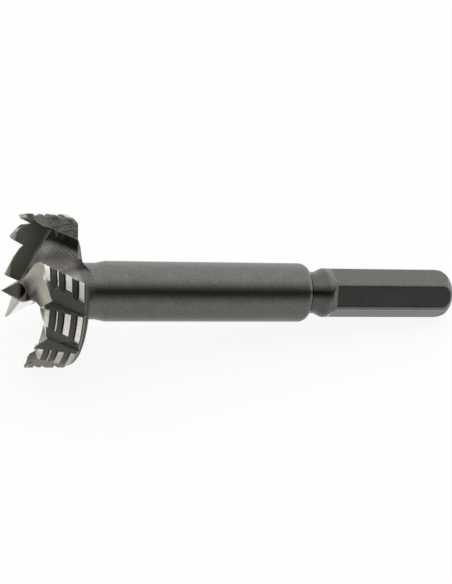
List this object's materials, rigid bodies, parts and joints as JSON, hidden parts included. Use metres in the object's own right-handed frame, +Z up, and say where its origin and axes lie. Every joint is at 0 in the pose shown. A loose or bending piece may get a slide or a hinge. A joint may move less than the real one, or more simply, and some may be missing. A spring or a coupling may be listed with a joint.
{
  "type": "forstner bit",
  "caption": "Forstner bit with a toothed, ribbed rim, two cutting lips with open chip mouths, a centre point and a stepped round shank with a hexagonal drive end.",
  "frame": {"origin": "middle of the footprint of the bit as it lies at rest, on the surface it lies on", "axes": "+Z up; +X from the cutting head towards the drive end, seen from above; +Y completes the frame"},
  "size_m": [0.1272, 0.04, 0.0382],
  "materials": {
    "tool_steel": "dark burnished steel with bright ground lips, floors and rib crests"
  },
  "bodies": {
    "root": {"forstner_bit": "tool_steel"}
  },
  "joints": []
}
